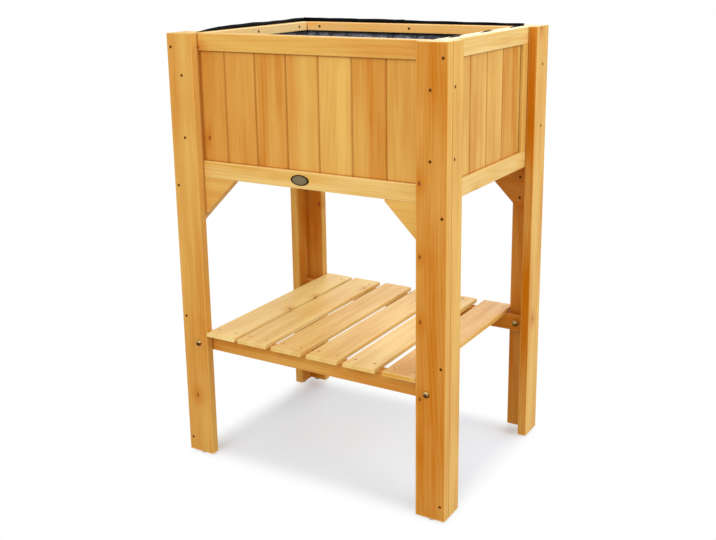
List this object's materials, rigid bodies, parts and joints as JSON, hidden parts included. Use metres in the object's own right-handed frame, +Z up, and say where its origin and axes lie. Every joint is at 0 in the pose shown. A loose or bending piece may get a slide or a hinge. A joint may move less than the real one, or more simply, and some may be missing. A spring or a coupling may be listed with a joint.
{
  "type": "raised planter",
  "caption": "Raised wooden planter box on tall corner legs, with framed tongue-and-groove walls, a black liner, corner gussets and a slatted shelf below.",
  "frame": {"origin": "on the floor, under the centre of the planter", "axes": "+X along the front to the viewer's right, +Y from front to rear, +Z up"},
  "size_m": [0.55, 0.4266, 0.811],
  "materials": {
    "oiled_timber": "honey-coloured oiled softwood",
    "slat_timber": "pale oiled softwood",
    "liner_film": "black film with a soft sheen",
    "zinc_hardware": "yellow zinc-plated steel",
    "glide_plastic": "pale moulded plastic"
  },
  "bodies": {
    "root": {"batten_front": "oiled_timber", "batten_left": "oiled_timber", "batten_rear": "oiled_timber", "batten_right": "oiled_timber", "floor_front_cleat": "slat_timber", "floor_rear_cleat": "slat_timber", "floor_slat_1": "slat_timber", "floor_slat_2": "slat_timber", "floor_slat_3": "slat_timber", "floor_slat_4": "slat_timber", "floor_slat_5": "slat_timber", "floor_slat_6": "slat_timber", "front_panel_boards": "oiled_timber", "front_panel_bottom_rail": "oiled_timber", "front_panel_left_stile": "oiled_timber", "front_panel_right_stile": "oiled_timber", "front_panel_top_rail": "oiled_timber", "gusset_front_left": "oiled_timber", "gusset_front_right": "oiled_timber", "gusset_rear_left": "oiled_timber", "gusset_rear_right": "oiled_timber", "left_panel_boards": "oiled_timber", "left_panel_bottom_rail": "oiled_timber", "left_panel_left_stile": "oiled_timber", "left_panel_right_stile": "oiled_timber", "left_panel_top_rail": "oiled_timber", "leg_front_left_face": "oiled_timber", "leg_front_left_side": "oiled_timber", "leg_front_right_face": "oiled_timber", "leg_front_right_side": "oiled_timber", "leg_glides": "glide_plastic", "leg_rear_left_face": "oiled_timber", "leg_rear_left_side": "oiled_timber", "leg_rear_right_face": "oiled_timber", "leg_rear_right_side": "oiled_timber", "liner": "liner_film", "rear_panel_boards": "oiled_timber", "rear_panel_bottom_rail": "oiled_timber", "rear_panel_left_stile": "oiled_timber", "rear_panel_right_stile": "oiled_timber", "rear_panel_top_rail": "oiled_timber", "right_panel_boards": "oiled_timber", "right_panel_bottom_rail": "oiled_timber", "right_panel_left_stile": "oiled_timber", "right_panel_right_stile": "oiled_timber", "right_panel_top_rail": "oiled_timber", "shelf_bolts": "zinc_hardware", "shelf_front_rail": "oiled_timber", "shelf_nuts": "zinc_hardware", "shelf_rear_rail": "oiled_timber", "shelf_slat_1": "slat_timber", "shelf_slat_2": "slat_timber", "shelf_slat_3": "slat_timber", "shelf_slat_4": "slat_timber", "shelf_slat_5": "slat_timber", "shelf_slat_6": "slat_timber", "shelf_washers": "zinc_hardware"}
  },
  "joints": []
}
